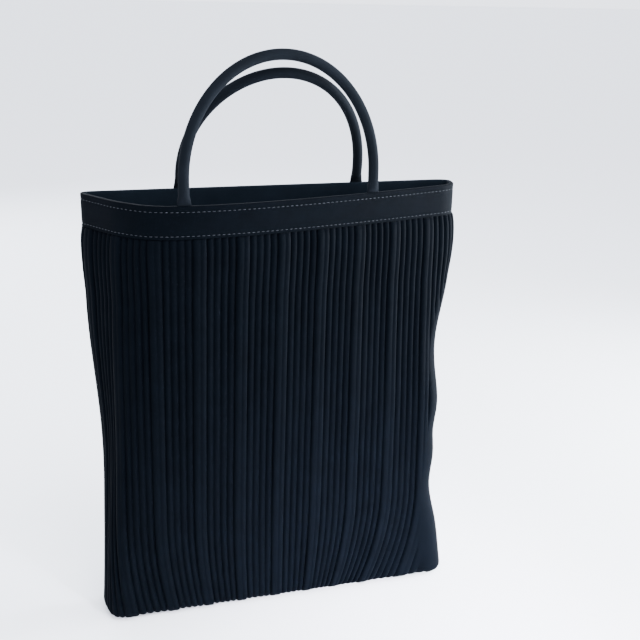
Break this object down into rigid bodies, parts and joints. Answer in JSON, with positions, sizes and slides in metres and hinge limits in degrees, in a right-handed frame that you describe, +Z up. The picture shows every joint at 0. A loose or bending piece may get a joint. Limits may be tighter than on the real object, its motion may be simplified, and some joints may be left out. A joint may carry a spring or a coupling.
{
  "type": "formal handbag",
  "caption": "Slim upright handbag of dark pleated cloth, with a plain stitched band round its open mouth and two round cloth handles.",
  "frame": {"origin": "middle of the flat base, on the surface that the bag stands on", "axes": "+Z up, -Y out of the front that swells forward, +X to the right as seen from the front"},
  "size_m": [0.3013, 0.076, 0.4559],
  "materials": {
    "pleated_cloth": "matt woven polyester, heat-set pleats",
    "band_cloth": "matt plain weave",
    "handle_cloth": "matt twill wound round a cord"
  },
  "bodies": {
    "root": {"pleated_body": "pleated_cloth", "top_band": "band_cloth", "handle_front": "handle_cloth", "handle_back": "handle_cloth"}
  },
  "joints": []
}
